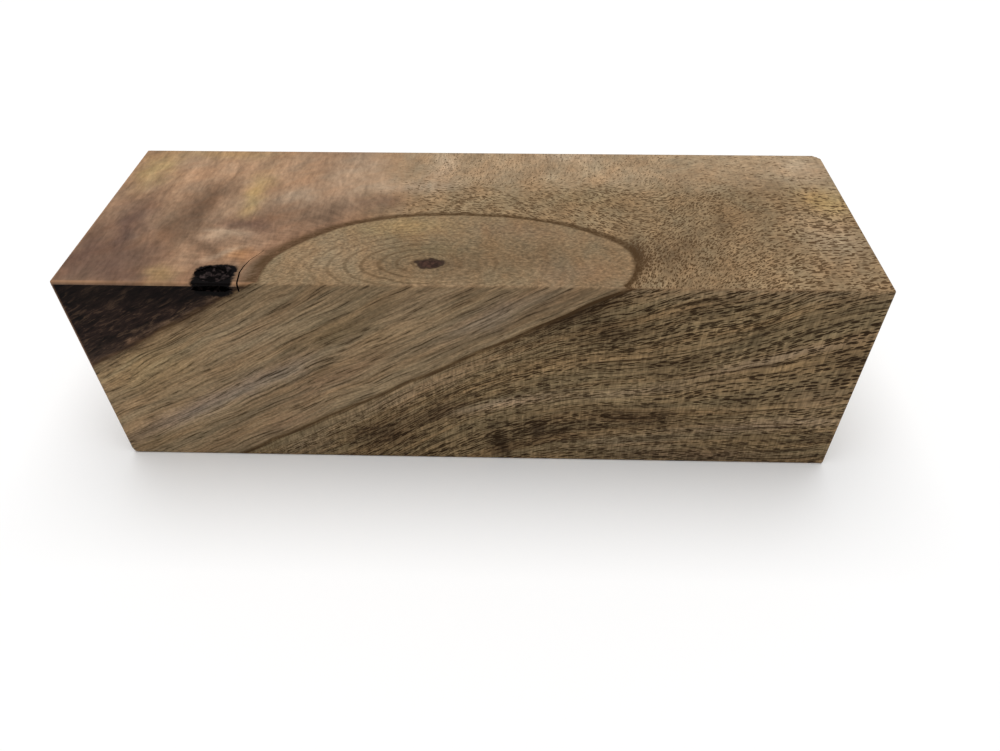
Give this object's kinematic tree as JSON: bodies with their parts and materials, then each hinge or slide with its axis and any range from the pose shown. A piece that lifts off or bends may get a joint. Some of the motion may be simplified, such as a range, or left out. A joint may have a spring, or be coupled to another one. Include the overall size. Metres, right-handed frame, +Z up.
{
  "type": "stabilised wood block",
  "caption": "Rectangular sawn block of resin-stabilised mango wood with a slanting knot, for knife handles or turning.",
  "frame": {"origin": "under the middle of the block, on the surface it lies on", "axes": "+X along the block, +Y from the front face to the back face, +Z up"},
  "size_m": [0.1334, 0.044, 0.041],
  "materials": {
    "mango_wood": "sanded, pores filled with clear resin, satin; warm grey-brown with dark pores, a knot and a bark pocket"
  },
  "bodies": {
    "root": {"mango_wood_block": "mango_wood"}
  },
  "joints": []
}
